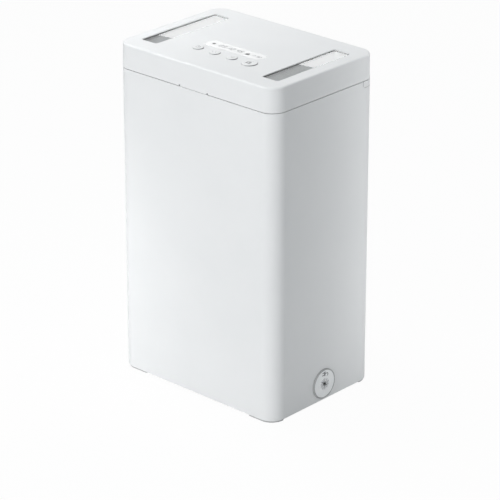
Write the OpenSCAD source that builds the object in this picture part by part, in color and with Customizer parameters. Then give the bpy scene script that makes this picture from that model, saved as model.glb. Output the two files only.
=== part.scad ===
// Timed lock container: a deep white box with a hinged lid that carries the clock, four
// buttons, two clear windows and a motor-driven bolt.
// Millimetres, +Z up, the front faces -Y. The origin lies on the floor, under the middle
// of the box.

/* [Box] */
// Width of the box, side to side
body_w = 210; // [200:1:250]
// Depth of the box, front to back
body_d = 150; // [144:1:180]
// Height of the lid's top face above the floor
total_h = 353; // [250:1:420]
// Plan radius of the four upright corners
corner_r = 16; // [13:0.5:18]
// Thickness of the moulded walls
wall = 2.5; // [2:0.1:3]
// Thickness of the floor of the box
floor_t = 3; // [2.5:0.1:5]
// Rounding of the bottom edge
base_fillet = 1; // [0.5:0.1:1.2]

/* [Feet] */
// Length of a corner foot, side to side
foot_l = 33; // [24:1:45]
// Length of a corner foot, front to back
foot_w = 17; // [16:1:25]
// Height of the box above the floor
foot_h = 1.5; // [1:0.1:3]
// Depth of the pocket that a foot is glued into
foot_sink = 0.8; // [0.5:0.1:1.2]
// Distance of a foot from the outer face of the box
foot_inset = 1.2; // [1.2:0.1:3]

/* [Lid] */
// Height of the lid from its bottom edge to its top face
lid_h = 25.5; // [25.5:0.5:34]
// Thickness of the lid's top
lid_top_t = 3; // [2.5:0.1:4]
// How far each side of the lid leans in towards the top
lid_draft = 0.4; // [0:0.1:0.8]
// Rounding of the lid's top edge
lid_fillet = 2; // [1:0.1:2.4]
// Gap between the lid and the rim of the box
seam = 0.7; // [0.5:0.1:1.2]
// Width of the lip at the front that nearly closes the seam
lip_w = 35; // [24:1:50]
// Gap between that lip and the rim
lip_gap = 0.4; // [0.3:0.05:0.4]
// Width of the relief notch at each end of the lip
notch_w = 1.8; // [1:0.1:2]
// Height of that notch above the bottom edge of the lid
notch_h = 1.4; // [0.6:0.1:2]

/* [Inner panel] */
// Thickness of the panel under the lid
panel_t = 2.6; // [2.5:0.1:3]
// How far the panel reaches down into the box
panel_drop = 4; // [3.5:0.1:5]
// Gap between the panel and the walls of the box
panel_gap = 0.7; // [0.6:0.05:1]
// Height of the rim wall that stands up from the panel
panel_rim_h = 6; // [4:0.5:8]
// Thickness of that rim wall
panel_rim_t = 1.6; // [1.2:0.1:2]

/* [Windows] */
// Width of a window
window_w = 20.6; // [14:0.2:24]
// Length of a window, front to back
window_l = 106.5; // [80:0.5:108]
// Distance from the side of the box to the middle of a window
window_inset = 24.7; // [23:0.1:26]
// Place of the windows' middle, front to back
window_y = -0.75; // [-2:0.25:1]
// Plan radius of the window corners
window_r = 2.5; // [1:0.1:5]
// Depth of a pane's face below the lid's top
pane_sink = 0.8; // [0.4:0.1:1.5]
// Gap between a pane's face and the edge of its opening
pane_gap = 0.25; // [0.15:0.05:0.4]
// Thickness of the clear pane's flange
pane_t = 2; // [1.5:0.1:2.5]
// How far the pane reaches under the lid all round
pane_lap = 2; // [1.5:0.1:2.5]
// Thickness of the foam seal under the pane
seal_t = 0.5; // [0.3:0.1:1]
// Wall thickness of the shaft below a window
shaft_wall = 1.4; // [1:0.1:1.8]

/* [Display] */
// Width of the display strip
lens_w = 74; // [60:1:80]
// Depth of the display strip, front to back
lens_l = 16; // [14:0.5:17]
// Distance from the front of the box to the middle of the display strip
lens_inset = 60; // [59.5:0.1:61]
// Plan radius of the strip's corners
lens_r = 5; // [2:0.5:6]
// Thickness of the display strip, let in flush with the lid
lens_t = 1.4; // [1:0.1:1.8]
// Gap round the display strip
lens_gap = 0.12; // [0.05:0.01:0.3]
// Width of the light module under the strip
module_w = 66; // [50:1:68]
// Depth of the light module, front to back
module_l = 11; // [9:0.5:12]

/* [Board] */
// Width of the circuit board
board_w = 108; // [108:1:112]
// Length of the circuit board, front to back
board_l = 42; // [38:1:46]
// Thickness of the circuit board
board_t = 1.6; // [1:0.1:1.8]
// Depth of the board's upper face below the lid's top
board_drop = 5.4; // [5:0.1:5.6]

/* [Buttons] */
// Diameter of the three small buttons
small_button_d = 11; // [8:0.5:12]
// Diameter of the large button
large_button_d = 16; // [12:0.5:18]
// Pitch of the three small buttons
button_pitch = 22.5; // [21:0.5:24]
// Place of the first small button, side to side
button_x = -31.5; // [-34:0.5:-30]
// Place of the large button, side to side
large_button_x = 36.5; // [36:0.5:40]
// Distance from the front of the box to the row of buttons
button_inset = 40.5; // [39.5:0.1:41]
// How far a button stands proud of the lid
button_proud = 1.2; // [0.8:0.1:2]
// Rise of a button's crown in its middle
button_crown = 0.4; // [0.2:0.05:0.6]
// Travel of a button, which sets the height of its plunger over the switch
button_travel = 0.6; // [0.3:0.05:0.7]
// Gap round a button in its hole
button_gap = 0.3; // [0.25:0.05:0.4]

/* [Hinge] */
// Diameter of the hinge pin
pin_d = 3; // [2.5:0.1:3.5]
// Running gap round the pin in the lid's knuckles
pin_gap = 0.06; // [0.03:0.01:0.1]
// Outer radius of a knuckle
knuckle_r = 4; // [3.5:0.1:4.2]
// Number of knuckles, odd, shared by the bar and the lid
knuckle_count = 9; // [5:2:13]
// Gap between neighbouring knuckles
knuckle_gap = 0.4; // [0.3:0.05:0.8]
// Gap round the knuckles in the trough
trough_gap = 0.4; // [0.35:0.05:0.6]
// Distance of the hinge's ends from the rounded corners
hinge_inset = 1; // [0.5:0.5:8]
// Height of the hinge bar that closes the rear of the rim
bar_h = 6.8; // [6:0.1:8]
// Distance of the bar's front end from the back of the box
bar_reach = 20; // [18:0.5:26]
// Radius of the lower front corner of the bar's end
bar_corner_r = 2.8; // [1:0.1:4]
// Gap between the bar and the notch it lies in
bar_gap = 0.2; // [0.1:0.05:0.4]
// Thickness of the bar's flange inside the box
flange_t = 2.2; // [1.6:0.1:3]
// Height of that flange
flange_h = 18; // [14:0.5:24]

/* [Lock] */
// Width of the bolt
bolt_w = 8; // [6:0.5:9]
// Height of the bolt under its teeth
bolt_h = 4; // [3:0.1:4.5]
// Throw of the bolt, which sets the length of the bolt and its rack
bolt_throw = 7; // [5:0.5:7]
// Gap round the bolt in its guide
bolt_gap = 0.3; // [0.25:0.05:0.5]
// Module of the pinion and the rack
tooth_module = 0.8; // [0.7:0.05:0.85]
// Number of teeth of the pinion
pinion_teeth = 12; // [10:1:13]
// Face width of the pinion
pinion_w = 4.6; // [4:0.1:5]
// Play between the flanks of the teeth
backlash = 0.36; // [0.2:0.02:0.5]
// Thickness of the strike plate
strike_t = 2; // [1.5:0.1:2.5]
// Width of the strike plate
strike_w = 18; // [14:0.5:22]
// Gap round the bolt in the strike plate's hole
strike_gap = 0.8; // [0.5:0.1:1]
// Distance of the strike plate's upstand from the front wall
strike_reach = 6.5; // [5.5:0.1:7]

/* [Motor] */
// Diameter of the motor can
motor_d = 12; // [12:0.5:12.5]
// Height of the motor across its flats
motor_h = 10; // [9:0.5:10.5]
// Length of the gearbox
gearbox_l = 9; // [8:0.5:12]
// Length of the motor can
motor_l = 15; // [12:0.5:16]
// Diameter of the output shaft
shaft_d = 3; // [2.5:0.1:3.2]
// Running gap round the output shaft
shaft_gap = 0.05; // [0.03:0.01:0.1]

/* [Battery] */
// Diameter of a cell
cell_d = 14.2; // [13.5:0.1:14.5]
// Length of a cell without its stud
cell_l = 49.5; // [44:0.5:51]
// Distance from the back of the box to the middle of the battery box
battery_inset = 47; // [45:0.5:49]
// Wall thickness of the battery box
battery_wall = 1.5; // [1:0.1:2]
// Gap round the battery door
door_gap = 0.4; // [0.3:0.05:0.6]
// Diameter of the pins that the battery door turns on
door_pin_d = 1.4; // [1:0.1:1.5]
// Running gap round those pins
door_pin_gap = 0.08; // [0.05:0.01:0.1]

/* [Grommet] */
// Diameter of the flange of the cable grommet
grommet_d = 32; // [26:0.5:34]
// Diameter of the hole in the wall of the box
grommet_hole_d = 26; // [20:0.5:28]
// Height of the grommet's middle above the floor
grommet_z = 20; // [20:0.5:60]
// Place of the grommet's middle, front to back
grommet_y = 0.5; // [-20:0.5:20]
// How far the grommet stands proud of the wall
grommet_proud = 2; // [1.2:0.1:3]
// Length of a ray of the star slit
ray_l = 6.4; // [4:0.1:8]
// Width of the slits
ray_w = 0.7; // [0.4:0.05:1]
// Number of slits that cross in the middle
slit_count = 5; // [3:1:6]

/* [Screws] */
// Diameter of the screws
screw_d = 2.6; // [2:0.1:3]
// Diameter of a screw head
screw_head_d = 5; // [4:0.1:5.6]
// Height of a screw head
screw_head_h = 1.6; // [1.2:0.1:1.8]
// Diameter of the posts that take the screws
post_d = 6.5; // [6:0.1:7.5]

/* [Hidden] */

$fn = 64;
eps = 0.01;

shell_white = [0.94, 0.94, 0.95];
part_white = [0.88, 0.88, 0.9];
steel = [0.62, 0.64, 0.66];
black = [0.12, 0.12, 0.13];
rubber_grey = [0.5, 0.5, 0.52];
board_green = [0.1, 0.4, 0.22];
brass = [0.8, 0.65, 0.3];

side = [-1, 1];

// Levels, from the floor up
lid_z = total_h - lid_h;
rim_z = lid_z - seam;
panel_z = lid_z - panel_drop;
panel_top = panel_z + panel_t;
ceiling_z = total_h - lid_top_t;
pane_z = ceiling_z - pane_t;
lens_z = total_h - lens_t;

// Plan lines
half_w = body_w / 2;
half_d = body_d / 2;
inner_x = half_w - wall;
inner_y = half_d - wall;
// Width of the floor and the lid's top that the outline's sweep makes
ledge = corner_r - 4;
foot_gap = 0.15;
foot_r = 2;
window_x = half_w - window_inset;
lens_y = -half_d + lens_inset;
button_y = -half_d + button_inset;
battery_y = half_d - battery_inset;

// Screws
screw_hole_d = screw_d + 0.3;
slot_l = 0.52 * screw_head_d;
slot_w = 0.12 * screw_head_d;
pilot_l = wall - 0.6;
// Depths of the screws in their posts
lid_screw_l = 3 * screw_d;
ear_screw_l = 2.7 * screw_d;
board_screw_l = 1.5 * screw_d;
sink_h = 1.2;

// Hinge
pin_y = half_d - knuckle_r;
pin_z = lid_z - 0.3;
trough_r = knuckle_r + trough_gap;
bar_z = rim_z - bar_h;
bar_floor = pin_z - trough_r - 1;
bar_y = half_d - bar_reach;
rail_t = 10;
rail_h = 5.5;
rail_y = half_d - 1 - rail_t;
hinge_l = body_w - 2 * corner_r - 2 * hinge_inset;
knuckle_step = hinge_l / knuckle_count;
knuckle_l = knuckle_step - knuckle_gap;
// The trough ends where the rounded corner has drawn in past the pin
corner_drop = sqrt(pow(corner_r, 2) - pow(corner_r - knuckle_r, 2));
trough_l = body_w - 2 * corner_r + 2 * corner_drop + 3;
end_barrel_l = trough_l / 2 - trough_gap - hinge_l / 2 - knuckle_gap / 2;
bar_screw_inset = 30;
bar_screw_count = 4;
bar_screw_pitch = (body_w - 2 * bar_screw_inset) / (bar_screw_count - 1);
bar_screw_x = [for (i = [0:bar_screw_count - 1]) -half_w + bar_screw_inset + i * bar_screw_pitch];
bar_screw_z = bar_z - flange_h / 2 - 1;

// Lock
pitch_r = tooth_module * pinion_teeth / 2;
pitch = PI * tooth_module;
pressure_angle = 20;
base_r = pitch_r * cos(pressure_angle);
tip_r = pitch_r + tooth_module;
root_r = pitch_r - 1.2 * tooth_module;
tooth_w = (pitch - backlash) / 2;
rack_addendum = 0.7 * tooth_module;
rack_dedendum = 1.25 * tooth_module;
strike_y = -inner_y + strike_reach;
housing_z = panel_top + 0.2;
housing_floor = 1.8;
bolt_z = housing_z + housing_floor + bolt_gap;
bolt_top = bolt_z + bolt_h;
pitch_z = bolt_top + rack_dedendum;
pinion_z = pitch_z + pitch_r + 0.1;
nose_y = strike_y + strike_t + 1.4;
pinion_y = nose_y + bolt_throw + 3.6;
rack_teeth = 3 + ceil(bolt_throw / pitch);
rack_w = pinion_w + 0.4;
guide_l = 3.8;
guide_wall = 2;
guide_y = nose_y + 0.8;
half_channel = bolt_w / 2 + bolt_gap;
bolt_l = bolt_throw + guide_l + 12.5;
housing_rear = nose_y + bolt_l + 3;
end_wall = 2;

// Strike plate
strike_foot_h = 22;
strike_shelf_z = panel_z - 11.5;
strike_screw_x = [for (s = side) s * strike_w / 4];
strike_screw_z = strike_shelf_z - strike_foot_h / 2;
strike_top = bolt_top + 3.6;
upstand_h = 10;

// Motor, on the pinion's axis
gearbox_x = 8;
can_x = gearbox_x + gearbox_l;
motor_end_x = can_x + motor_l;
hub_l = 2.5;
shaft_end = 0.5;
cradle_z = pinion_z - motor_h / 2;
cradle_d = motor_d + 0.4;
strap_x = can_x + 2;
strap_l = 10;
strap_t = 1;
strap_ear = 6.5;
strap_screw_dy = [for (s = side) s * (cradle_d / 2 + strap_ear / 2 + 0.3)];

// Board
board_top = ceiling_z - board_drop;
board_front = pinion_y + 8;
board_rear = board_front + board_l;
board_edge = 4;
switch_h = 3.2;
switch_w = 6;
switch_floor = 0.6;
button_flange_t = 0.7;
button_flange_z = ceiling_z - 0.3 - button_flange_t;
plunger_d = 3.5;
plunger_z = board_top + switch_floor + button_travel + 0.3;
all_button_x = [button_x, button_x + button_pitch, button_x + 2 * button_pitch, large_button_x];

// Battery
cell_gap = 1;
box_in_l = cell_l + 7;
box_in_w = 2 * cell_d + cell_gap + 1;
box_l = box_in_l + 2 * battery_wall;
box_w = box_in_w + 2 * battery_wall;
box_ear = 3;
door_t = 1.7;
door_l = box_in_l + 2;
door_w = box_in_w + 2;
door_barrel_r = 1.1;
door_pin_l = 1.8;
door_axis_y = battery_y + door_w / 2 - door_barrel_r;
door_axis_z = panel_z + door_barrel_r;
cell_z = panel_z + door_t + 1 + cell_d / 2;
cell_rows = [for (s = side) battery_y + s * (cell_d + cell_gap) / 2];
stud_l = 1;
box_top = cell_z + cell_d / 2 + 0.8 + battery_wall;

// Inner panel
panel_front = -inner_y + panel_gap;
panel_rear = rail_y - 0.3;

// Places of the posts, from the edges that they stand near
ear_z = housing_z + screw_head_h + 1.8;
ear_x = [-15.5, motor_end_x + 9.5];
ear_y = [nose_y + 4.6, nose_y + 15];
lid_screw_x = half_w - 46;
lid_screw_y = [-half_d + 15, board_rear + 5, half_d - 21];
lid_screw_places = [for (sx = side, y = lid_screw_y) [sx * lid_screw_x, y]];
housing_screw_places = [for (x = ear_x, y = ear_y) [x, y]];
board_screw_places = [
    for (sx = side, dy = [board_edge, board_l - board_edge])
        [sx * (board_w / 2 - board_edge - 1), board_front + dy]
];

// ---------------------------------------------------------------- shared shapes

// Rounded rectangle, centred
module plan(w, d, r) {
    square([w - 2 * r, d], center = true);
    square([w, d - 2 * r], center = true);
    for (sx = side, sy = side)
        translate([sx * (w / 2 - r), sy * (d / 2 - r)]) circle(r);
}

// Outline of the box, drawn in by a distance
module inset_plan(inset) {
    plan(body_w - 2 * inset, body_d - 2 * inset, corner_r - inset);
}

// Carries a profile round the outline of the box. The profile's x is the distance in from
// the outer face and its y is the height.
module round_the_outline() {
    for (i = [0:3])
        rotate([0, 0, 90 * i])
            let (a = i % 2 == 0 ? body_w : body_d, b = i % 2 == 0 ? body_d : body_w) {
                translate([a / 2, b / 2 - corner_r, 0])
                    rotate([90, 0, 0])
                        linear_extrude(b - 2 * corner_r) mirror([1, 0]) children();
                translate([a / 2 - corner_r, b / 2 - corner_r, 0])
                    rotate_extrude(angle = 90) translate([corner_r, 0]) mirror([1, 0]) children();
            }
}

// Cylinder along X from x, round the line (y, z)
module rod_x(x, y, z, r, l) {
    translate([x, y, z]) rotate([0, 90, 0]) cylinder(r = r, h = l);
}

// Profile drawn in the YZ plane, carried along X
module along_x(x, l) {
    translate([x, 0, 0]) rotate([90, 0, 90]) linear_extrude(l) children();
}

// Upright rounded block
module block(x, y, z, w, d, h, r = 1) {
    translate([x, y, z]) linear_extrude(h) plan(w, d, r);
}

// Box from its lowest corner to its highest
module span(low, high) {
    translate(low) cube(high - low);
}

// Pan head screw, head down at the origin and shank up
module screw(l) {
    difference() {
        cylinder(d1 = screw_head_d - 0.8, d2 = screw_head_d, h = screw_head_h);
        cross_slot();
    }
    translate([0, 0, screw_head_h]) cylinder(d = screw_d, h = l);
}

// Cross in a screw's head, cut upwards from the origin
module cross_slot() {
    for (a = [0, 90])
        rotate([0, 0, a])
            translate([-slot_l / 2, -slot_w / 2, -eps]) cube([slot_l, slot_w, screw_head_h / 2]);
}

// ---------------------------------------------------------------- box

// Side outline of the hinge bar's end, open towards the back and the top
module bar_outline(gap) {
    y = bar_y - gap;
    z = bar_z - gap;
    r = bar_corner_r + gap;
    translate([y + r, z]) square([bar_reach + 1, bar_h + 10]);
    translate([y, z + r]) square([bar_reach + 1, bar_h + 10]);
    translate([y + r, z + r]) circle(r);
}

module wall_profile() {
    translate([0, foot_h + base_fillet]) square([wall, rim_z - foot_h - base_fillet]);
    translate([base_fillet, foot_h]) square([ledge - base_fillet, floor_t]);
    translate([base_fillet, foot_h + base_fillet]) circle(base_fillet);
}

// The four corner feet in plan, grown by a gap for their pockets
module foot_plan(gap) {
    foot_x = half_w - foot_inset - foot_l / 2 + gap;
    foot_y = half_d - foot_inset - foot_w / 2 + gap;
    intersection() {
        inset_plan(foot_inset - gap);
        for (sx = side, sy = side)
            translate([sx * foot_x, sy * foot_y]) plan(foot_l + 2 * gap, foot_w + 2 * gap, foot_r);
    }
}

module body_shell() {
    color(shell_white)
        difference() {
            union() {
                round_the_outline() wall_profile();
                translate([0, 0, foot_h]) linear_extrude(floor_t) inset_plan(corner_r / 2);
            }
            along_x(-half_w - 1, body_w + 2) bar_outline(bar_gap);
            rod_x(inner_x - 1, grommet_y, grommet_z, grommet_hole_d / 2, wall + 2);
            translate([0, 0, foot_h - eps]) linear_extrude(foot_sink + eps) foot_plan(foot_gap);
            for (x = strike_screw_x)
                translate([x, -inner_y + eps, strike_screw_z]) rotate([90, 0, 0])
                    cylinder(d = screw_d, h = pilot_l);
            for (x = bar_screw_x)
                translate([x, inner_y - eps, bar_screw_z]) rotate([-90, 0, 0])
                    cylinder(d = screw_d, h = pilot_l);
        }
}

module feet(sy) {
    color(rubber_grey)
        intersection() {
            linear_extrude(foot_h + foot_sink) foot_plan(0);
            translate([0, sy * half_d, 0])
                cube([body_w, body_d - 2, 4 * (foot_h + foot_sink)], center = true);
        }
}

module front_feet() { feet(-1); }
module rear_feet() { feet(1); }

// Revolved grommet with its groove over the wall, a thin membrane and a star of slits
module cable_grommet() {
    lip_d = grommet_hole_d + 2.4;
    lip_l = 2.2;
    edge_r = 0.9;
    tube_wall = 2;
    membrane_t = 1.4;
    star_hole_d = 2.2;
    depth = wall + lip_l + 1;
    color(part_white)
        translate([half_w, grommet_y, grommet_z]) rotate([0, 90, 0])
            difference() {
                union() {
                    rotate_extrude() {
                        square([grommet_d / 2, grommet_proud - edge_r]);
                        square([grommet_d / 2 - edge_r, grommet_proud]);
                        translate([grommet_d / 2 - edge_r, grommet_proud - edge_r]) circle(edge_r);
                    }
                    translate([0, 0, -wall - lip_l / 2]) cylinder(d = grommet_hole_d, h = wall + lip_l);
                    translate([0, 0, -wall - lip_l])
                        cylinder(d1 = grommet_hole_d - 1, d2 = lip_d, h = lip_l);
                }
                translate([0, 0, -depth])
                    cylinder(d = grommet_hole_d - 2 * tube_wall, h = depth + grommet_proud - membrane_t);
                for (i = [0:slit_count - 1])
                    rotate([0, 0, 90 + i * 180 / slit_count])
                        translate([-ray_l, -ray_w / 2, -1]) cube([2 * ray_l, ray_w, grommet_proud + 2]);
                cylinder(d = star_hole_d, h = 2 * depth, center = true);
            }
}

// ---------------------------------------------------------------- hinge

// Start of one knuckle: even places belong to the bar, odd ones to the lid
function knuckle_x(i) = -hinge_l / 2 + i * knuckle_step + knuckle_gap / 2;

// Bar let into the rear rim: a strip that closes the notch, a flange inside the walls and
// the fixed knuckles on a low ledge
module hinge_bar() {
    color(part_white) {
        difference() {
            union() {
                intersection() {
                    round_the_outline() translate([0, bar_z]) square([wall, bar_h]);
                    along_x(-half_w - 1, body_w + 2) bar_outline(0);
                }
                intersection() {
                    round_the_outline()
                        translate([wall, bar_z - flange_h]) square([flange_t, flange_h + 2]);
                    span([-half_w, bar_y - 4, 0], [half_w, half_d, total_h]);
                }
                intersection() {
                    span([-trough_l / 2, pin_y - knuckle_r - 0.5, bar_z],
                         [trough_l / 2, half_d, bar_floor]);
                    linear_extrude(total_h) inset_plan(wall - 0.5);
                }
            }
            span([-trough_l / 2, pin_y - trough_r - 3, bar_floor],
                 [trough_l / 2, half_d + 1, total_h]);
            for (x = bar_screw_x)
                translate([x, inner_y - flange_t - 1, bar_screw_z]) rotate([-90, 0, 0])
                    cylinder(d = screw_hole_d, h = flange_t + 2);
        }
        difference() {
            for (i = [0:2:knuckle_count - 1]) {
                rod_x(knuckle_x(i), pin_y, pin_z, knuckle_r, knuckle_l);
                span([knuckle_x(i), pin_y - 0.85 * knuckle_r, bar_floor - 0.5],
                     [knuckle_x(i) + knuckle_l, pin_y + 0.15 * knuckle_r, pin_z - 1]);
            }
            rod_x(-hinge_l / 2 - 1, pin_y, pin_z, pin_d / 2, hinge_l + 2);
        }
    }
}

module hinge_bar_screws() {
    color(steel)
        for (x = bar_screw_x)
            translate([x, inner_y - flange_t - screw_head_h, bar_screw_z]) rotate([-90, 0, 0])
                screw(flange_t + pilot_l - 0.1);
}

module hinge_pin() {
    color(steel) rod_x(-hinge_l / 2 + 0.5, pin_y, pin_z, pin_d / 2, hinge_l - 1);
}

// ---------------------------------------------------------------- strike plate

// Bent plate: a foot on the front wall, a shelf and an upstand with the bolt's hole
module strike_plate() {
    foot_z = strike_shelf_z - strike_foot_h;
    foot_y = -inner_y + strike_t;
    under_z = strike_shelf_z - strike_t;
    back_y = strike_y + strike_t;
    bend_z = strike_top - 3;
    color(steel)
        difference() {
            union() {
                along_x(-strike_w / 2, strike_w)
                    polygon([
                        [-inner_y, foot_z], [foot_y, foot_z], [foot_y, under_z], [back_y, under_z],
                        [back_y, bend_z], [strike_y, bend_z], [strike_y, strike_shelf_z],
                        [-inner_y, strike_shelf_z]
                    ]);
                translate([0, back_y, 0]) rotate([90, 0, 0])
                    linear_extrude(strike_t)
                        translate([0, strike_top - upstand_h / 2]) plan(strike_w, upstand_h, 2.5);
            }
            translate([0, back_y + 1, (bolt_z + bolt_top) / 2]) rotate([90, 0, 0])
                linear_extrude(strike_t + 2)
                    plan(bolt_w + 2 * strike_gap, bolt_h + 2 * strike_gap, 0.8);
            for (x = strike_screw_x)
                translate([x, foot_y + 1, strike_screw_z]) rotate([90, 0, 0])
                    cylinder(d = screw_hole_d, h = strike_t + 2);
        }
}

module strike_screws() {
    color(steel)
        for (x = strike_screw_x)
            translate([x, -inner_y + strike_t + screw_head_h, strike_screw_z]) rotate([90, 0, 0])
                screw(strike_t + pilot_l - 0.1);
}

// ---------------------------------------------------------------- lid

// Drafted side wall, rounded edge and the outer part of the top
module lid_profile() {
    edge_x = lid_draft + lid_fillet;
    edge_z = total_h - lid_fillet;
    polygon([
        [0, lid_z], [wall, lid_z], [wall, ceiling_z], [ledge, ceiling_z], [ledge, total_h],
        [edge_x, total_h], [edge_x, edge_z], [lid_draft, edge_z]
    ]);
    translate([edge_x, edge_z]) circle(lid_fillet);
}

module post(x, y, z, d = post_d) {
    translate([x, y, z]) cylinder(d = d, h = ceiling_z - z + 0.5);
}

module pilot(x, y, z, depth) {
    translate([x, y, z - eps]) cylinder(d = screw_d, h = depth);
}

module window_plan(grow) {
    plan(window_w + 2 * grow, window_l + 2 * grow, window_r + grow);
}

module at_window(sx, z) {
    translate([sx * window_x, window_y, z]) children();
}

module lid_cover() {
    color(shell_white) {
        difference() {
            union() {
                round_the_outline() lid_profile();
                translate([0, 0, ceiling_z]) linear_extrude(lid_top_t) inset_plan(corner_r / 2);
                along_x(-lip_w / 2, lip_w)
                    polygon([
                        [-half_d, rim_z + lip_gap], [-half_d, lid_z], [-half_d + 1, lid_z + 1],
                        [-inner_y, lid_z + 1], [-inner_y, rim_z + lip_gap]
                    ]);
                span([-hinge_l / 2, rail_y, lid_z], [hinge_l / 2, half_d - 1, lid_z + rail_h]);
                for (p = lid_screw_places) post(p[0], p[1], panel_top);
                for (p = housing_screw_places) post(p[0], p[1], ear_z);
                for (p = board_screw_places) post(p[0], p[1], board_top);
            }
            rod_x(-hinge_l / 2, pin_y, pin_z, trough_r, hinge_l);
            for (sx = side)
                at_window(sx, ceiling_z - 1) linear_extrude(lid_top_t + 2) window_plan(0);
            translate([0, lens_y, lens_z]) linear_extrude(lens_t + 1)
                plan(lens_w + 2 * lens_gap, lens_l + 2 * lens_gap, lens_r);
            translate([0, lens_y, ceiling_z - 1]) linear_extrude(lid_top_t)
                plan(module_w + 0.8, module_l + 0.8, 1);
            for (i = [0:3])
                translate([all_button_x[i], button_y, ceiling_z - 1])
                    cylinder(d = button_d(i) + 2 * button_gap, h = lid_top_t + 2);
            for (sx = side)
                span([sx * (lip_w + notch_w) / 2 - notch_w / 2, -half_d - 1, rim_z],
                     [sx * (lip_w + notch_w) / 2 + notch_w / 2, -half_d + wall + 0.5, lid_z + notch_h]);
            for (p = lid_screw_places) pilot(p[0], p[1], panel_top, lid_screw_l + 1);
            for (p = housing_screw_places) pilot(p[0], p[1], ear_z, ear_screw_l);
            for (p = board_screw_places) pilot(p[0], p[1], board_top, board_screw_l + 0.5);
        }
        difference() {
            for (i = [1:2:knuckle_count - 1]) {
                rod_x(knuckle_x(i), pin_y, pin_z, knuckle_r, knuckle_l);
                span([knuckle_x(i), pin_y - knuckle_r, pin_z],
                     [knuckle_x(i) + knuckle_l, half_d - 0.5, pin_z + trough_r + 1]);
            }
            rod_x(-hinge_l / 2 - 1, pin_y, pin_z, pin_d / 2 + pin_gap, hinge_l + 2);
        }
        for (sx = side)
            let (middle_x = sx * (hinge_l + knuckle_gap + end_barrel_l) / 2)
                intersection() {
                    rod_x(middle_x - end_barrel_l / 2, pin_y, pin_z, knuckle_r, end_barrel_l);
                    translate([0, 0, pin_z - knuckle_r - 1])
                        linear_extrude(2 * knuckle_r + 2) inset_plan(0.3);
                }
    }
}

// Panel that closes the lid from below, with its rim wall, the two window shafts, the
// slot for the strike plate and the opening of the battery box
module panel_plan(inset) {
    intersection() {
        inset_plan(wall + panel_gap + inset);
        translate([0, (panel_front + panel_rear) / 2])
            square([body_w, panel_rear - panel_front - 2 * inset], center = true);
    }
}

module inner_panel() {
    strike_slot_l = strike_t + 2.4;
    color(part_white)
        difference() {
            union() {
                translate([0, 0, panel_z]) linear_extrude(panel_t) panel_plan(0);
                translate([0, 0, panel_z]) linear_extrude(panel_t + panel_rim_h)
                    difference() {
                        panel_plan(0);
                        panel_plan(panel_rim_t);
                    }
                for (sx = side)
                    at_window(sx, panel_z) linear_extrude(pane_z - seal_t - panel_z)
                        window_plan(shaft_wall + 0.5);
            }
            for (sx = side)
                at_window(sx, panel_z - 1) linear_extrude(pane_z) window_plan(0.5);
            block(0, strike_y + strike_t / 2 - 0.2, panel_z - 1,
                  strike_w + 2, strike_slot_l, panel_t + 2);
            block(0, battery_y, panel_z - 1,
                  door_l + 2 * door_gap, door_w + 2 * door_gap, panel_t + 2, 0.5);
            rod_x(-door_l / 2 - door_pin_l - door_gap, door_axis_y, door_axis_z,
                  door_pin_d / 2 + door_pin_gap, door_l + 2 * (door_pin_l + door_gap));
            for (p = lid_screw_places) {
                translate([p[0], p[1], panel_z - 1]) cylinder(d = screw_hole_d, h = panel_t + 2);
                translate([p[0], p[1], panel_z - eps])
                    cylinder(d1 = screw_head_d + 0.2, d2 = screw_hole_d, h = sink_h + 0.1);
            }
        }
}

// Countersunk screws from below, flush with the panel
module lid_screws() {
    color(steel)
        for (p = lid_screw_places)
            translate([p[0], p[1], panel_z + 0.1]) {
                difference() {
                    cylinder(d1 = screw_head_d, d2 = screw_d, h = sink_h);
                    cross_slot();
                }
                translate([0, 0, sink_h - 0.2])
                    cylinder(d = screw_d, h = panel_t + lid_screw_l - sink_h);
            }
}

// Clear pane: a flange under the lid and a raised face that nearly fills the opening
module window_pane(sx) {
    face_z = pane_t / 2;
    color([0.75, 0.82, 0.85, 0.5])
        at_window(sx, pane_z) {
            linear_extrude(pane_t) window_plan(pane_lap);
            translate([0, 0, face_z])
                linear_extrude(total_h - pane_sink - pane_z - face_z) window_plan(-pane_gap);
        }
}

module window_pane_left() { window_pane(-1); }
module window_pane_right() { window_pane(1); }

module window_seal(sx) {
    color(black)
        at_window(sx, pane_z - seal_t) linear_extrude(seal_t)
            difference() {
                window_plan(pane_lap);
                window_plan(0.5);
            }
}

module window_seal_left() { window_seal(-1); }
module window_seal_right() { window_seal(1); }

// ---------------------------------------------------------------- clock

module display_lens() {
    color([0.97, 0.97, 0.98])
        translate([0, lens_y, lens_z]) linear_extrude(lens_t)
            plan(lens_w, lens_l, lens_r - lens_gap);
}

module display_module() {
    color(black)
        block(0, lens_y, board_top, module_w, module_l, lens_z - board_top - 0.2, 0.6);
}

module main_board() {
    color(board_green)
        difference() {
            block(0, board_front + board_l / 2, board_top - board_t, board_w, board_l, board_t, 2);
            for (p = board_screw_places)
                translate([p[0], p[1], board_top - board_t - 1])
                    cylinder(d = screw_hole_d, h = board_t + 2);
        }
}

// Chip, capacitor and the plugs for the motor and the battery, under the board
module board_parts() {
    z = board_top - board_t;
    edge_x = board_w / 2 - 16;
    chip_x = 30 - board_w / 2;
    chip_w = 10;
    chip_h = 1.6;
    plug_l = 8;
    plug_w = 6;
    plug_h = 4.5;
    capacitor_h = 6;
    color(black) {
        block(chip_x, board_front + 24, z - chip_h, chip_w, chip_w, chip_h, 0.4);
        block(-edge_x, board_front + 34, z - plug_h, plug_l, plug_w, plug_h, 0.5);
        block(edge_x, board_front + 32, z - plug_h, plug_w, plug_l, plug_h, 0.5);
        translate([-edge_x, board_front + 18, z - capacitor_h]) cylinder(d = 6.3, h = capacitor_h);
    }
}

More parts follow.
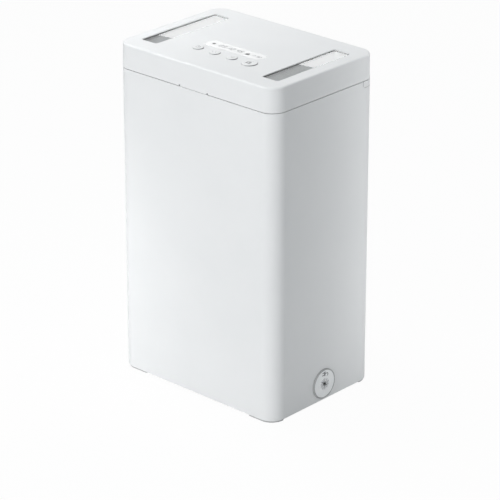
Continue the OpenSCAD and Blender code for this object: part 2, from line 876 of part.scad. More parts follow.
module board_screws() {
    color(steel)
        for (p = board_screw_places)
            translate([p[0], p[1], board_top - board_t - screw_head_h])
                screw(board_t + board_screw_l);
}

module buzzer() {
    buzzer_d = 9;
    buzzer_h = 4.2;
    hole_d = 1.6;
    color(black)
        translate([-board_w / 2 + buzzer_d, lens_y - 6, board_top])
            difference() {
                cylinder(d = buzzer_d, h = buzzer_h);
                translate([0, 0, buzzer_h - 0.8]) cylinder(d = hole_d, h = 2);
            }
}

module tact_switches() {
    color(black)
        for (x = all_button_x)
            difference() {
                block(x, button_y, board_top, switch_w, switch_w, switch_h, 0.4);
                translate([x, button_y, board_top + switch_floor])
                    cylinder(d = plunger_d + 0.3, h = switch_h);
            }
}

function button_d(i) = i < 3 ? small_button_d : large_button_d;

// Button with a crowned cap, a bevelled edge and a flange that holds it under the lid
module button(i) {
    d = button_d(i);
    top = total_h + button_proud;
    edge = top - button_crown;
    bevel = 0.4;
    crown_r = (d * d / 4 + button_crown * button_crown) / (2 * button_crown);
    color(shell_white)
        translate([all_button_x[i], button_y, 0])
            rotate_extrude()
                intersection() {
                    union() {
                        translate([0, button_flange_z]) square([d / 2 + 1, button_flange_t]);
                        translate([0, button_flange_z]) square([d / 2, edge - bevel - button_flange_z]);
                        polygon([[0, edge - bevel - 0.1], [d / 2, edge - bevel - 0.1], [d / 2, edge - bevel],
                                 [d / 2 - bevel, edge], [d / 2 - bevel, top + 1], [0, top + 1]]);
                    }
                    translate([0, top - crown_r]) circle(crown_r, $fn = 256);
                }
}

module button_1() { button(0); }
module button_2() { button(1); }
module button_3() { button(2); }
module button_4() { button(3); }

module plunger(i) {
    color(steel)
        translate([all_button_x[i], button_y, plunger_z])
            cylinder(d = plunger_d, h = button_flange_z - plunger_z);
}

module plunger_1() { plunger(0); }
module plunger_2() { plunger(1); }
module plunger_3() { plunger(2); }
module plunger_4() { plunger(3); }

// ---------------------------------------------------------------- lock

// Involute function, in degrees
function inv(a) = tan(a) * 180 / PI - a;

// Half the angle that a tooth of the pinion spans at a radius
function half_angle(r) =
    tooth_w / 2 / pitch_r * 180 / PI + inv(pressure_angle) - inv(acos(min(1, base_r / max(r, base_r))));
function polar(r, a) = [r * cos(a), r * sin(a)];

module pinion_outline() {
    tooth_step = 360 / pinion_teeth;
    steps = 4;
    flank_r = max(root_r, base_r);
    flank = [for (i = [0:steps]) flank_r + (tip_r - flank_r) * i / steps];
    polygon([
        for (t = [0:pinion_teeth - 1]) let (mid = t * tooth_step)
            each concat(
                [polar(root_r, mid - half_angle(base_r))],
                [for (r = flank) polar(r, mid - half_angle(r))],
                [for (i = [steps:-1:0]) polar(flank[i], mid + half_angle(flank[i]))],
                [polar(root_r, mid + half_angle(base_r))]
            )
    ]);
}

module pinion() {
    color(brass)
        translate([-pinion_w / 2, pinion_y, pinion_z]) rotate([0, 90, 0])
            difference() {
                union() {
                    linear_extrude(pinion_w) pinion_outline();
                    translate([0, 0, pinion_w]) cylinder(d = shaft_d + 4, h = hub_l);
                }
                translate([0, 0, -1]) cylinder(d = shaft_d, h = pinion_w + hub_l + 2);
            }
}

module output_shaft() {
    color(steel)
        rod_x(-pinion_w / 2 - shaft_end, pinion_y, pinion_z,
              shaft_d / 2, can_x - 1 + pinion_w / 2 + shaft_end);
}

// Bolt with its rack: tooth gaps lie under the pinion's middle at rest
module rack_outline() {
    half_top = tooth_w / 2 - rack_addendum * tan(pressure_angle);
    half_root = tooth_w / 2 + rack_dedendum * tan(pressure_angle);
    for (i = [0:rack_teeth - 1])
        translate([pinion_y + (i - 0.5) * pitch, 0])
            polygon([
                [-half_root, bolt_top - 0.2], [half_root, bolt_top - 0.2], [half_root, bolt_top],
                [half_top, pitch_z + rack_addendum], [-half_top, pitch_z + rack_addendum],
                [-half_root, bolt_top]
            ]);
}

module lock_bolt() {
    nose = 1;
    color(steel)
        union() {
            along_x(-rack_w / 2, rack_w) rack_outline();
            along_x(-bolt_w / 2, bolt_w)
                polygon([
                    [nose_y, bolt_z + nose], [nose_y + nose, bolt_z], [nose_y + bolt_l, bolt_z],
                    [nose_y + bolt_l, bolt_top], [nose_y + nose, bolt_top], [nose_y, bolt_top - nose]
                ]);
        }
}

// Channel for the bolt, cradle for the motor and an ear at each end, in one moulding
module lock_housing() {
    half_guide = half_channel + guide_wall;
    cradle_front = pinion_y - cradle_d / 2;
    cradle_rear = pinion_y + cradle_d / 2;
    ear_margin = 2.2;
    color(part_white)
        difference() {
            union() {
                span([-half_guide, guide_y, housing_z], [half_guide, housing_rear, bolt_z - bolt_gap]);
                for (sx = side)
                    span([sx * (half_channel + guide_wall / 2) - guide_wall / 2, guide_y, housing_z],
                         [sx * (half_channel + guide_wall / 2) + guide_wall / 2, housing_rear, bolt_top]);
                span([-half_guide, guide_y, housing_z],
                     [half_guide, guide_y + guide_l, bolt_top + bolt_gap + housing_floor]);
                span([-half_guide, housing_rear - end_wall, housing_z], [half_guide, housing_rear, bolt_top]);
                span([gearbox_x, cradle_front, housing_z], [motor_end_x, cradle_rear, cradle_z]);
                span([strap_x, cradle_front - strap_ear, housing_z],
                     [strap_x + strap_l, cradle_rear + strap_ear, cradle_z]);
                span([ear_x[0], ear_y[0] - ear_margin, housing_z], [ear_x[1], ear_y[1] + ear_margin, ear_z]);
                for (p = housing_screw_places)
                    translate([p[0], p[1], housing_z]) cylinder(d = post_d, h = ear_z - housing_z);
            }
            span([-half_channel, nose_y - 1, bolt_z - bolt_gap],
                 [half_channel, housing_rear - end_wall, bolt_top + bolt_gap]);
            span([-rack_w / 2 - 0.4, nose_y - 1, bolt_top],
                 [rack_w / 2 + 0.4, housing_rear - end_wall, pinion_z]);
            for (p = housing_screw_places) {
                translate([p[0], p[1], housing_z - 1]) cylinder(d = screw_hole_d, h = ear_z - housing_z + 2);
                translate([p[0], p[1], housing_z - 1])
                    cylinder(d = screw_head_d + 0.4, h = screw_head_h + 1);
            }
            for (dy = strap_screw_dy)
                translate([strap_x + strap_l / 2, pinion_y + dy, cradle_z - 4]) cylinder(d = screw_d, h = 5);
        }
}

module lock_housing_screws() {
    color(steel)
        for (p = housing_screw_places)
            translate([p[0], p[1], housing_z]) screw(ear_screw_l);
}

module motor_gearbox() {
    color(brass)
        difference() {
            union() {
                span([gearbox_x, pinion_y - motor_d / 2, pinion_z - motor_h / 2],
                     [gearbox_x + gearbox_l, pinion_y + motor_d / 2, pinion_z + motor_h / 2]);
                rod_x(gearbox_x - 0.8, pinion_y, pinion_z, 2, 2);
            }
            rod_x(gearbox_x - 1, pinion_y, pinion_z, shaft_d / 2 + shaft_gap, gearbox_l);
        }
}

module motor_can() {
    color(steel)
        intersection() {
            rod_x(can_x, pinion_y, pinion_z, motor_d / 2, motor_l);
            span([can_x, pinion_y - motor_d, pinion_z - motor_h / 2],
                 [motor_end_x, pinion_y + motor_d, pinion_z + motor_h / 2]);
        }
    color(steel) rod_x(motor_end_x - 0.1, pinion_y, pinion_z, 2.5, 1.2);
}

// Sheet metal strap over the motor, with an ear on each side
module motor_strap() {
    top = pinion_z + motor_h / 2;
    half_in = cradle_d / 2;
    end_x = strap_x + strap_l;
    color(steel)
        difference() {
            union() {
                span([strap_x, pinion_y - half_in - strap_t, top],
                     [end_x, pinion_y + half_in + strap_t, top + strap_t]);
                for (s = side)
                    let (leg = pinion_y + s * (half_in + strap_t / 2),
                         ear = pinion_y + s * (half_in + strap_ear / 2)) {
                        span([strap_x, leg - strap_t / 2, cradle_z],
                             [end_x, leg + strap_t / 2, top + strap_t]);
                        span([strap_x, ear - strap_ear / 2, cradle_z],
                             [end_x, ear + strap_ear / 2, cradle_z + strap_t]);
                    }
            }
            for (dy = strap_screw_dy)
                translate([strap_x + strap_l / 2, pinion_y + dy, cradle_z - 1])
                    cylinder(d = screw_hole_d, h = 4);
        }
}

module motor_strap_screws() {
    color(steel)
        for (dy = strap_screw_dy)
            translate([strap_x + strap_l / 2, pinion_y + dy, cradle_z + strap_t + screw_head_h])
                mirror([0, 0, 1]) scale(0.8) screw(4.5);
}

// ---------------------------------------------------------------- power

module battery_box() {
    color(black)
        difference() {
            union() {
                block(0, battery_y, panel_top, box_l, box_w, box_top - panel_top);
                block(0, battery_y, panel_top, box_l + 2 * box_ear, box_w - 8, 1.8);
            }
            block(0, battery_y, panel_top - 1,
                  box_in_l, box_in_w, box_top - battery_wall - panel_top + 1, 0.6);
        }
}

module battery_cells() {
    for (i = [0:1]) {
        dir = i == 0 ? 1 : -1;
        color([0.25, 0.3, 0.35]) rod_x(-cell_l / 2, cell_rows[i], cell_z, cell_d / 2, cell_l);
        color(steel)
            rod_x(dir > 0 ? cell_l / 2 - 0.1 : -cell_l / 2 - stud_l, cell_rows[i], cell_z, 2.7, stud_l + 0.1);
    }
}

// A flat plate at each stud and a coil spring, drawn as a cone, at each other end
module battery_contacts() {
    plate_t = 0.4;
    half_plate = 5.5;
    end_gap = (box_in_l - cell_l) / 2;
    color(steel)
        for (i = [0:1], s = side) {
            stud = (i == 0) == (s > 0);
            x = s * box_in_l / 2;
            span([min(x, x - s * plate_t), cell_rows[i] - half_plate, cell_z - half_plate],
                 [max(x, x - s * plate_t), cell_rows[i] + half_plate, cell_z + half_plate]);
            translate([x, cell_rows[i], cell_z]) rotate([0, -s * 90, 0])
                cylinder(r1 = stud ? 2 : 4.2, r2 = stud ? 2 : 2.6, h = end_gap - (stud ? stud_l : 0));
        }
}

// Door that turns on two pins at its rear edge, with a finger notch at the front
module battery_door() {
    front = battery_y - door_w / 2;
    color(part_white)
        difference() {
            union() {
                span([-door_l / 2, front, panel_z], [door_l / 2, door_axis_y, panel_z + door_t]);
                rod_x(-door_l / 2, door_axis_y, door_axis_z, door_barrel_r, door_l);
                rod_x(-door_l / 2 - door_pin_l, door_axis_y, door_axis_z,
                      door_pin_d / 2, door_l + 2 * door_pin_l);
            }
            translate([0, front, panel_z - 1]) cylinder(d = 14, h = door_t * 0.4 + 1);
        }
}

body_shell();
front_feet();
rear_feet();
cable_grommet();
hinge_bar();
hinge_bar_screws();
hinge_pin();
strike_plate();
strike_screws();
lid_cover();
inner_panel();
lid_screws();
window_pane_left();
window_pane_right();
window_seal_left();
window_seal_right();
display_lens();
display_module();
main_board();
board_parts();
board_screws();
buzzer();
tact_switches();
lock_housing();
lock_housing_screws();
motor_gearbox();
motor_can();
motor_strap();
motor_strap_screws();
battery_box();
battery_cells();
battery_contacts();
output_shaft();
pinion();
lock_bolt();
battery_door();
button_1();
button_2();
button_3();
button_4();
plunger_1();
plunger_2();
plunger_3();
plunger_4();
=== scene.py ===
"""Looks of the timed lock container: finishes for every part, the printed marks, the studio.

Lengths are metres in the part's own frame: +Z up, the front towards -Y. Flat marks are drawn in
millimetres, and become metres when they are laid on their surface.
"""

import math

import bmesh
import bpy
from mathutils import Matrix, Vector


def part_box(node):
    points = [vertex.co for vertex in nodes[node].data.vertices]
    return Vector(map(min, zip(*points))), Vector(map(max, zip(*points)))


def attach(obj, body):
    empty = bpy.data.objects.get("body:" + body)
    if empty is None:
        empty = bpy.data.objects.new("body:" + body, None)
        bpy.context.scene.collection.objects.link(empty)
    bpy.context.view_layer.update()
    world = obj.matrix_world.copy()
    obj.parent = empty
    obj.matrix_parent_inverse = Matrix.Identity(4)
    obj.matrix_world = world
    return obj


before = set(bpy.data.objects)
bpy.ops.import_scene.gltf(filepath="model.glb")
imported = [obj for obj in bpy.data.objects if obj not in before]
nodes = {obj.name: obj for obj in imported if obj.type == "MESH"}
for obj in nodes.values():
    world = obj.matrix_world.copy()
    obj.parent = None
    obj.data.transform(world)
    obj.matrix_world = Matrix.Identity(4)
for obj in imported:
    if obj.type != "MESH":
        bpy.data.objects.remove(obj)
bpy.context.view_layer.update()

MM = 0.001

# ------------------------------------------------------------------ camera

# The photograph's viewpoint, fitted to the corners of the box
CAMERA_AZIMUTH = math.radians(42.507)
CAMERA_ELEVATION = math.radians(23.471)
CAMERA_DISTANCE = 2744.6 * MM
CAMERA_SLIDE_RIGHT = 4.143 * MM
CAMERA_SLIDE_UP = -37.79 * MM
FOCAL_PIXELS = 2728.7
IMAGE_PIXELS = 500
SENSOR_WIDTH = 36.0
BOX_HEIGHT = 353 * MM


def make_camera():
    """Camera at the photograph's viewpoint, level, with its aim slid off the middle of the box."""
    a, e = CAMERA_AZIMUTH, CAMERA_ELEVATION
    back = Vector((math.sin(a) * math.cos(e), -math.cos(a) * math.cos(e), math.sin(e)))
    right = (-back).cross(Vector((0, 0, 1))).normalized()
    up = right.cross(-back)
    data = bpy.data.cameras.new("camera")
    data.sensor_width = SENSOR_WIDTH
    data.lens = FOCAL_PIXELS / IMAGE_PIXELS * SENSOR_WIDTH
    data.clip_start, data.clip_end = 0.1, 100
    camera = bpy.data.objects.new("camera", data)
    camera.location = (
        Vector((0, 0, BOX_HEIGHT / 2))
        + back * CAMERA_DISTANCE
        + right * CAMERA_SLIDE_RIGHT
        + up * CAMERA_SLIDE_UP
    )
    camera.rotation_mode = "QUATERNION"
    camera.rotation_quaternion = (-back).to_track_quat("-Z", "Y")
    bpy.context.collection.objects.link(camera)
    bpy.context.scene.camera = camera


# ------------------------------------------------------------------ shader helper


def grey(value, cool=0.0):
    """Linear grey, drawn towards blue by a small share."""
    return (value * (1 - cool), value * (1 - cool / 3), value)


class Shader:
    """A node material under construction: a Principled shader and helpers that feed it."""

    def __init__(self, name, **sockets):
        self.material = bpy.data.materials.new(name)
        self.material.use_nodes = True
        self.tree = self.material.node_tree
        self.bsdf = self.tree.nodes["Principled BSDF"]
        for socket, value in sockets.items():
            self.bsdf.inputs[socket.replace("_", " ")].default_value = value
        self.coords = self.add("ShaderNodeTexCoord").outputs["Object"]
        self.relief = None

    def add(self, kind, **settings):
        node = self.tree.nodes.new(kind)
        for key, value in settings.items():
            setattr(node, key, value)
        return node

    def link(self, source, target):
        self.tree.links.new(source, target)

    def split(self, vector):
        """Outputs X, Y and Z of a vector."""
        node = self.add("ShaderNodeSeparateXYZ")
        self.link(vector, node.inputs[0])
        return node.outputs

    def math(self, operation, *values):
        """Arithmetic on numbers or sockets."""
        node = self.add("ShaderNodeMath", operation=operation)
        for socket, value in zip(node.inputs, values):
            if isinstance(value, (int, float)):
                socket.default_value = value
            else:
                self.link(value, socket)
        return node.outputs[0]

    def vector_math(self, operation, vector, constant=(0, 0, 0)):
        """Outputs of an operation on a vector socket and a constant vector."""
        node = self.add("ShaderNodeVectorMath", operation=operation)
        self.link(vector, node.inputs[0])
        node.inputs[1].default_value = constant
        return node.outputs

    def remap(self, value, low, high, start=0.3, end=0.7):
        """Spreads the stretch from start to end, by default a pattern's middle, over low to high."""
        node = self.add("ShaderNodeMapRange")
        node.inputs["From Min"].default_value = start
        node.inputs["From Max"].default_value = end
        node.inputs["To Min"].default_value = low
        node.inputs["To Max"].default_value = high
        self.link(value, node.inputs["Value"])
        return node.outputs[0]

    def noise(self, size, detail=2.0, stretch=(1, 1, 1)):
        """Noise with features of about that size, in metres."""
        mapping = self.add("ShaderNodeMapping")
        mapping.inputs["Scale"].default_value = stretch
        self.link(self.coords, mapping.inputs["Vector"])
        texture = self.add("ShaderNodeTexNoise")
        texture.inputs["Scale"].default_value = 1 / size
        texture.inputs["Detail"].default_value = detail
        self.link(mapping.outputs[0], texture.inputs["Vector"])
        return texture.outputs["Fac"]

    def cells(self, size):
        """Cell pattern with cells of about that size, in metres."""
        texture = self.add("ShaderNodeTexVoronoi", feature="F1")
        texture.inputs["Scale"].default_value = 1 / size
        self.link(self.coords, texture.inputs["Vector"])
        return texture.outputs["Distance"]

    def ramp(self, value, *stops):
        """Colour ramp over (position, colour) stops."""
        node = self.add("ShaderNodeValToRGB")
        elements = node.color_ramp.elements
        while len(elements) < len(stops):
            elements.new(0.5)
        for element, (position, colour) in zip(elements, stops):
            element.position = position
            element.color = (*colour, 1)
        self.link(value, node.inputs["Fac"])
        return node.outputs["Color"]

    def drift(self, size, detail, dark, light):
        """Colour that wanders between two near tones over features of about that size."""
        return self.ramp(self.noise(size, detail), (0.3, dark), (0.7, light))

    def mix(self, share, first, second):
        """Colour that goes from the first socket to the second as the share goes from 0 to 1."""
        node = self.add("ShaderNodeMix", data_type="RGBA")
        self.link(share, node.inputs["Factor"])
        self.link(first, node.inputs["A"])
        self.link(second, node.inputs["B"])
        return node.outputs["Result"]

    def mark_with(self, mask, ground, tone):
        """Colour that is the ground's, and one constant tone where the mask is 1."""
        node = self.add("ShaderNodeMix", data_type="RGBA")
        self.link(mask, node.inputs["Factor"])
        self.link(ground, node.inputs["A"])
        node.inputs["B"].default_value = (*tone, 1)
        return node.outputs["Result"]

    def colour(self, source):
        self.link(source, self.bsdf.inputs["Base Color"])

    def roughness(self, value, low, high):
        self.link(self.remap(value, low, high), self.bsdf.inputs["Roughness"])

    def bump(self, value, depth):
        """Adds relief of that depth, in metres, over any relief that is there."""
        node = self.add("ShaderNodeBump")
        node.inputs["Strength"].default_value = 1.0
        node.inputs["Distance"].default_value = depth
        self.link(value, node.inputs["Height"])
        if self.relief is not None:
            self.link(self.relief, node.inputs["Normal"])
        self.relief = node.outputs["Normal"]
        self.link(self.relief, self.bsdf.inputs["Normal"])


# ------------------------------------------------------------------ white finishes

# The tone of moulded pieces wanders over about this length
TONE_DRIFT = 60 * MM

SHELL_LIGHT = grey(0.80, 0.012)
SHELL_DARK = grey(0.785, 0.016)
SHELL_GRAIN = 0.45 * MM
SHELL_GRAIN_DEPTH = 0.012 * MM

# The hinge bar's strip is let into the box, this far in from the rear and down from the rim. A grey
# line of this width runs along its edges
BAR_REACH = 20 * MM
BAR_HEIGHT = 6.8 * MM
BAR_LINE = 0.6 * MM

# Buttons: height of the domed crown, and where the painted shade on the button's side wall ends below it
BUTTON_CROWN = 0.4 * MM
SIDE_SHADE_FADE_START = 0.3 * MM
SIDE_SHADE_FADE_END = 0.1 * MM

# Grommet: painted shade drawn as a grey star along the slits in the membrane, and as a grey rim that is
# wider towards the rear and the bottom, the sides away from the light
STAR_SLITS = 5
SLIT_SHADE_WIDTH = 0.8 * MM
SLIT_SHADE_REACH = 6.2 * MM
RIM_SHADE_WIDTH = 1.4 * MM
RIM_SHADE_SHIFT = 0.35 * MM


def moulded_plastic(name, light, dark, grain, depth, rough):
    """Moulded plastic: faint drift of tone, spark-eroded grain, uneven gloss."""
    s = Shader(name, IOR=1.5, Specular_IOR_Level=0.4)
    s.colour(s.drift(TONE_DRIFT, 3, dark, light))
    s.roughness(s.noise(3 * MM), rough - 0.04, rough + 0.04)
    s.bump(s.noise(grain), depth)
    s.bump(s.cells(grain * 1.7), depth * 0.5)
    return s.material


def white_shell():
    return moulded_plastic(
        "white_shell", SHELL_LIGHT, SHELL_DARK, grain=SHELL_GRAIN, depth=SHELL_GRAIN_DEPTH, rough=0.42
    )


def white_inner():
    return moulded_plastic(
        "white_inner", grey(0.76, 0.012), grey(0.735, 0.012), grain=0.8 * MM, depth=0.006 * MM, rough=0.36
    )


def hinge_shell():
    """The shell's white, with a grey line along the bar's edges where it meets the box."""
    s = Shader("hinge_shell", IOR=1.5, Specular_IOR_Level=0.4)
    place = s.split(s.coords)
    _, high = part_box("body_shell")
    front, bottom = high[1] - BAR_REACH, high[2] - BAR_HEIGHT
    in_line = s.math(
        "MAXIMUM",
        s.math("LESS_THAN", place["Y"], front + BAR_LINE),
        s.math("LESS_THAN", place["Z"], bottom + BAR_LINE),
    )
    white = s.drift(TONE_DRIFT, 3, SHELL_DARK, SHELL_LIGHT)
    s.colour(s.mark_with(in_line, white, grey(0.5, 0.012)))
    s.roughness(s.noise(3 * MM), 0.38, 0.46)
    s.bump(s.noise(SHELL_GRAIN), SHELL_GRAIN_DEPTH)
    return s.material


def white_button():
    """White cap; below it painted shade on the side wall, pale grey at the front, rear and left and dark
    at +X, the side turned away from the light.
    """
    s = Shader("white_button", IOR=1.5, Specular_IOR_Level=0.4)
    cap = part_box("button_1")[1][2] - BUTTON_CROWN
    level = s.remap(s.split(s.coords)["Z"], 0, 1, cap - SIDE_SHADE_FADE_START, cap - SIDE_SHADE_FADE_END)
    turned = s.split(s.add("ShaderNodeTexCoord").outputs["Normal"])
    # Painted shade: the side wall below the crown is greyer than the cap and darkest where it faces +X,
    # away from the light
    side_shade = s.ramp(turned["X"], (0.0, grey(0.62, 0.01)), (0.75, grey(0.07, 0.01)))
    face = s.drift(TONE_DRIFT, 3, grey(0.79, 0.01), grey(0.80, 0.01))
    s.colour(s.mix(level, side_shade, face))
    s.roughness(s.noise(3 * MM), 0.26, 0.34)
    s.bump(s.noise(0.4 * MM), 0.004 * MM)
    return s.material


def white_silicone():
    """Silicone of the grommet: white face, with painted shade as a grey rim and as a grey star along the
    slits.
    """
    s = Shader("white_silicone", IOR=1.41, Specular_IOR_Level=0.5, Subsurface_Weight=0.1)
    s.bsdf.inputs["Subsurface Radius"].default_value = (0.9, 0.9, 1.0)
    s.bsdf.inputs["Subsurface Scale"].default_value = 0.8 * MM
    low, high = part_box("cable_grommet")
    middle = (0, (low[1] + high[1]) / 2, (low[2] + high[2]) / 2)
    outer = (high[1] - low[1]) / 2
    centred = s.vector_math("SUBTRACT", s.coords, middle)[0]
    flat = s.vector_math("MULTIPLY", centred, (0, 1, 1))[0]
    radius = s.vector_math("LENGTH", flat)["Value"]
    across = s.split(flat)
    fold = s.math("PINGPONG", s.math("ARCTAN2", across["Y"], across["Z"]), math.pi / (2 * STAR_SLITS))
    aside = s.math("MULTIPLY", radius, s.math("SINE", fold))
    on_ray = s.math("LESS_THAN", aside, SLIT_SHADE_WIDTH / 2)
    in_reach = s.math("LESS_THAN", radius, SLIT_SHADE_REACH)
    # Painted shade: grey rim set off centre so it is wider on the shaded side, and grey rays along the
    # slits where they are in shade
    off_centre = s.vector_math("DISTANCE", flat, (0, -RIM_SHADE_SHIFT, RIM_SHADE_SHIFT))["Value"]
    rim = s.math("GREATER_THAN", off_centre, outer - RIM_SHADE_WIDTH)
    painted_shade = s.math("MAXIMUM", rim, s.math("MULTIPLY", on_ray, in_reach))
    face = s.drift(8 * MM, 4, grey(0.90, 0.015), grey(0.93, 0.015))
    s.colour(s.mark_with(painted_shade, face, grey(0.42, 0.02)))
    s.roughness(s.noise(1.5 * MM), 0.5, 0.62)
    s.bump(s.noise(0.5 * MM, 3), 0.01 * MM)
    return s.material


def display_white():
    """Milky strip over the lights, glossier than the lid."""
    s = Shader("display_white", IOR=1.49, Specular_IOR_Level=0.5, Coat_Weight=0.3)
    s.bsdf.inputs["Coat Roughness"].default_value = 0.08
    s.colour(s.drift(12 * MM, 3, grey(0.75, 0.004), grey(0.77, 0.004)))
    s.roughness(s.noise(2 * MM), 0.2, 0.26)
    s.bump(s.noise(0.35 * MM), 0.002 * MM)
    return s.material


# ------------------------------------------------------------------ other finishes

# Cells: how far from their middle the tones of the sleeve reach
SLEEVE_REACH = 26 * MM
SLEEVE_DARK = (0.03, 0.045, 0.07)
SLEEVE_BAND = (0.5, 0.5, 0.5)

TRACK_PITCH = 3.0 * MM
FOAM_CELL = 0.6 * MM


def grey_rubber():
    """Matt rubber of the feet, with a coarse skin."""
    s = Shader("grey_rubber", IOR=1.5, Specular_IOR_Level=0.3)
    s.colour(s.drift(4 * MM, 4, grey(0.42, 0.01), grey(0.5, 0.01)))
    s.roughness(s.noise(1 * MM), 0.72, 0.85)
    s.bump(s.noise(0.3 * MM, 3), 0.03 * MM)
    return s.material


def clear_pane():
    """Clear acrylic: a slight blue-grey tint, faint wipe marks in its gloss."""
    s = Shader("clear_pane", IOR=1.49, Transmission_Weight=1.0)
    s.colour(s.drift(40 * MM, 2, (0.90, 0.93, 0.94), (0.92, 0.95, 0.96)))
    s.roughness(s.noise(6 * MM, 3, (1, 0.25, 1)), 0.0, 0.006)
    return s.material


def black_foam():
    """Foam of the panes' seals, with open cells."""
    s = Shader("black_foam", IOR=1.45, Specular_IOR_Level=0.2)
    s.colour(s.ramp(s.cells(FOAM_CELL), (0.1, grey(0.02)), (0.8, grey(0.06))))
    s.roughness(s.noise(1 * MM), 0.85, 0.95)
    s.bump(s.cells(FOAM_CELL), 0.15 * MM)
    return s.material


def black_plastic():
    return moulded_plastic(
        "black_plastic", grey(0.03), grey(0.02), grain=0.3 * MM, depth=0.01 * MM, rough=0.45
    )


def brushed_metal(name, light, dark, rough, along=(1, 40, 40)):
    """Metal with fine scratches that run along the axis whose stretch is 1."""
    s = Shader(name, Metallic=1.0)
    brush = s.noise(6 * MM, 6, along)
    s.colour(s.ramp(brush, (0.25, dark), (0.75, light)))
    s.roughness(brush, rough - 0.06, rough + 0.1)
    s.bump(brush, 0.008 * MM)
    return s.material


def solder_mask():
    """Circuit board: green lacquer in blocks, with raised paler tracks between them."""
    s = Shader("solder_mask", IOR=1.5, Coat_Weight=0.4)
    s.bsdf.inputs["Coat Roughness"].default_value = 0.15
    tracks = s.add("ShaderNodeTexBrick", offset=0.5, squash=1.0)
    tracks.inputs["Scale"].default_value = 1 / TRACK_PITCH
    tracks.inputs["Mortar Size"].default_value = 0.08
    tracks.inputs["Color1"].default_value = (0.012, 0.10, 0.045, 1)
    tracks.inputs["Color2"].default_value = (0.014, 0.12, 0.05, 1)
    tracks.inputs["Mortar"].default_value = (0.03, 0.2, 0.08, 1)
    s.link(s.coords, tracks.inputs["Vector"])
    s.colour(tracks.outputs["Color"])
    s.roughness(s.noise(2 * MM), 0.3, 0.42)
    s.bump(tracks.outputs["Fac"], 0.035 * MM)
    return s.material


def cell_sleeve():
    """Shrink sleeve of the cells: dark, with a plain pale band near each end."""
    s = Shader("cell_sleeve", IOR=1.5, Coat_Weight=0.3)
    from_middle = s.math("ABSOLUTE", s.split(s.coords)["X"])
    bands = ((0.0, SLEEVE_DARK), (0.66, SLEEVE_DARK), (0.67, SLEEVE_BAND),
             (0.86, SLEEVE_BAND), (0.87, SLEEVE_DARK))
    s.colour(s.ramp(s.remap(from_middle, 0, 1, 0, SLEEVE_REACH), *bands))
    s.roughness(s.noise(4 * MM), 0.25, 0.35)
    s.bump(s.noise(2 * MM, 3), 0.02 * MM)
    return s.material


def print_ink(name, value):
    """Pad-printed or lit mark: even grey with a faint screen grain."""
    s = Shader(name, IOR=1.45, Specular_IOR_Level=0.3)
    s.colour(s.drift(0.4 * MM, 3, grey(value * 0.92, 0.02), grey(value, 0.02)))
    s.roughness(s.noise(0.8 * MM), 0.4, 0.5)
    return s.material


def make_finishes():
    """One finish for each kind of surface, by name."""
    return {
        "shell": white_shell(),
        "hinge": hinge_shell(),
        "inner": white_inner(),
        "button": white_button(),
        "silicone": white_silicone(),
        "rubber": grey_rubber(),
        "pane": clear_pane(),
        "foam": black_foam(),
        "lens": display_white(),
        "black": black_plastic(),
        "board": solder_mask(),
        "steel": brushed_metal("zinc_steel", grey(0.62, 0.02), grey(0.5, 0.02), 0.3),
        "bright": brushed_metal("bright_steel", grey(0.68, 0.01), grey(0.6, 0.01), 0.2, (40, 40, 1)),
        "brass": brushed_metal("plain_brass", (0.72, 0.52, 0.22), (0.6, 0.42, 0.17), 0.28),
        "sleeve": cell_sleeve(),
        "ink_dark": print_ink("ink_dark", 0.06),
        "ink_pale": print_ink("ink_pale", 0.30),
        "ink_faint": print_ink("ink_faint", 0.72),
        "ink_mark": print_ink("ink_mark", 0.30),
    }


NODE_FINISH = {
    "shell": ["body_shell", "lid_cover"],
    "hinge": ["hinge_bar"],
    "inner": ["inner_panel", "lock_housing", "battery_door"],
    "button": ["button_1", "button_2", "button_3", "button_4"],
    "silicone": ["cable_grommet"],
    "rubber": ["front_feet", "rear_feet"],
    "pane": ["window_pane_left", "window_pane_right"],
    "foam": ["window_seal_left", "window_seal_right"],
    "lens": ["display_lens"],
    "black": ["display_module", "board_parts", "buzzer", "tact_switches", "battery_box"],
    "board": ["main_board"],
    "steel": [
        "hinge_bar_screws", "strike_plate", "strike_screws", "lid_screws", "board_screws",
        "lock_housing_screws", "motor_strap", "motor_strap_screws", "battery_contacts",
        "plunger_1", "plunger_2", "plunger_3", "plunger_4",
    ],
    "bright": ["hinge_pin", "motor_can", "output_shaft", "lock_bolt"],
    "brass": ["motor_gearbox", "pinion"],
    "sleeve": ["battery_cells"],
}


def dress_nodes(finishes):
    """Gives every CAD node its finish."""
    for finish, names in NODE_FINISH.items():
        for name in names:
            materials = nodes[name].data.materials
            materials.clear()
            materials.append(finishes[finish])


# ------------------------------------------------------------------ flat marks

# Thickness of every mark, and its height over the surface that carries it
INK_THICKNESS = 0.03 * MM
ICON_LIFT = 0.03 * MM
LINE_LIFT = 0.02 * MM


def bar(start, end, width):
    """Straight stroke as one polygon."""
    (x0, y0), (x1, y1) = start, end
    length = math.hypot(x1 - x0, y1 - y0)
    dx, dy = (x1 - x0) / length * width / 2, (y1 - y0) / length * width / 2
    return [[(x0 + dy, y0 - dx), (x1 + dy, y1 - dx), (x1 - dy, y1 + dx), (x0 - dy, y0 + dx)]]


def round_point(middle, radius, degrees):
    angle = math.radians(degrees)
    return (middle[0] + radius * math.cos(angle), middle[1] + radius * math.sin(angle))


def arc(middle, inner, outer, start, end, steps=24):
    """Ring or part of one, from start to end in degrees, as a strip of polygons."""
    turns = [start + (end - start) * i / steps for i in range(steps + 1)]
    return [
        [
            round_point(middle, inner, here),
            round_point(middle, outer, here),
            round_point(middle, outer, there),
            round_point(middle, inner, there),
        ]
        for here, there in zip(turns, turns[1:])
    ]


def disc(middle, radius, steps=24):
    return [[round_point(middle, radius, 360 * i / steps) for i in range(steps)]]


def rectangle(x, y, width, height):
    return [[(x - width / 2, y - height / 2), (x + width / 2, y - height / 2),
             (x + width / 2, y + height / 2), (x - width / 2, y + height / 2)]]


def moved(polygons, dx, dy):
    return [[(x + dx, y + dy) for x, y in polygon] for polygon in polygons]


